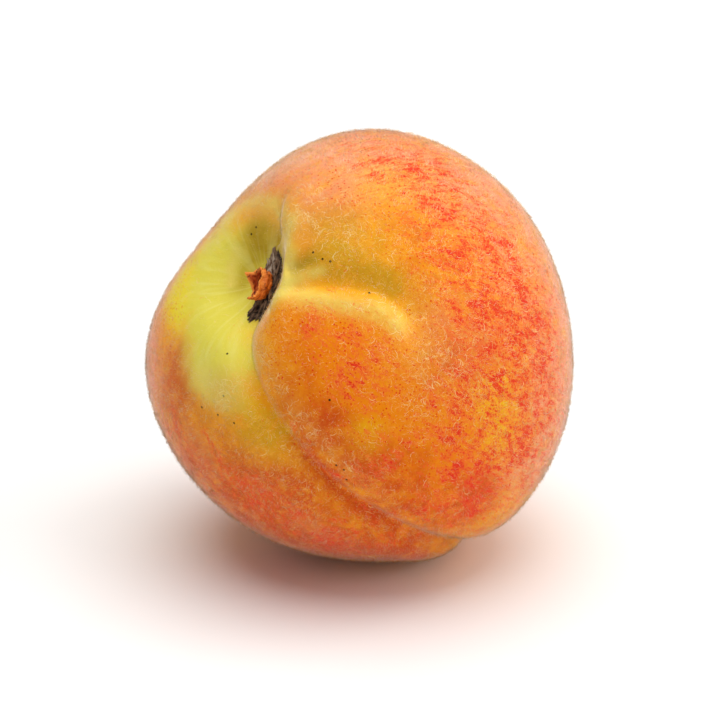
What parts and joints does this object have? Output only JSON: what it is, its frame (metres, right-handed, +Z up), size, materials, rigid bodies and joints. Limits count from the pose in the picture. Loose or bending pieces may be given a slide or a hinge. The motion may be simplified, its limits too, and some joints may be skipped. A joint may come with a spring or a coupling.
{
  "type": "peach",
  "caption": "Whole ripe peach with suture, shoulder creases and stalk cavity, with a bark scar and a torn stalk stub, lying on a small flat spot.",
  "frame": {"origin": "on the surface it rests on, under the middle of the whole part's box", "axes": "+Z up as the peach lies; its stalk end faces -X and -Y and upwards; Y is only the camera's way in"},
  "size_m": [0.0696, 0.071, 0.0695],
  "materials": {
    "peach_skin": "downy golden yellow to orange skin with red streaks and dots, green in the stalk cavity, no gloss",
    "bark": "dry fibrous grey-brown to black bark, matte",
    "stalk_wood": "torn orange-brown stalk wood, dry, with a dull sheen on its fibres"
  },
  "bodies": {
    "root": {"fruit": "peach_skin", "bark_scar": "bark", "stem_stub": "stalk_wood"}
  },
  "joints": []
}
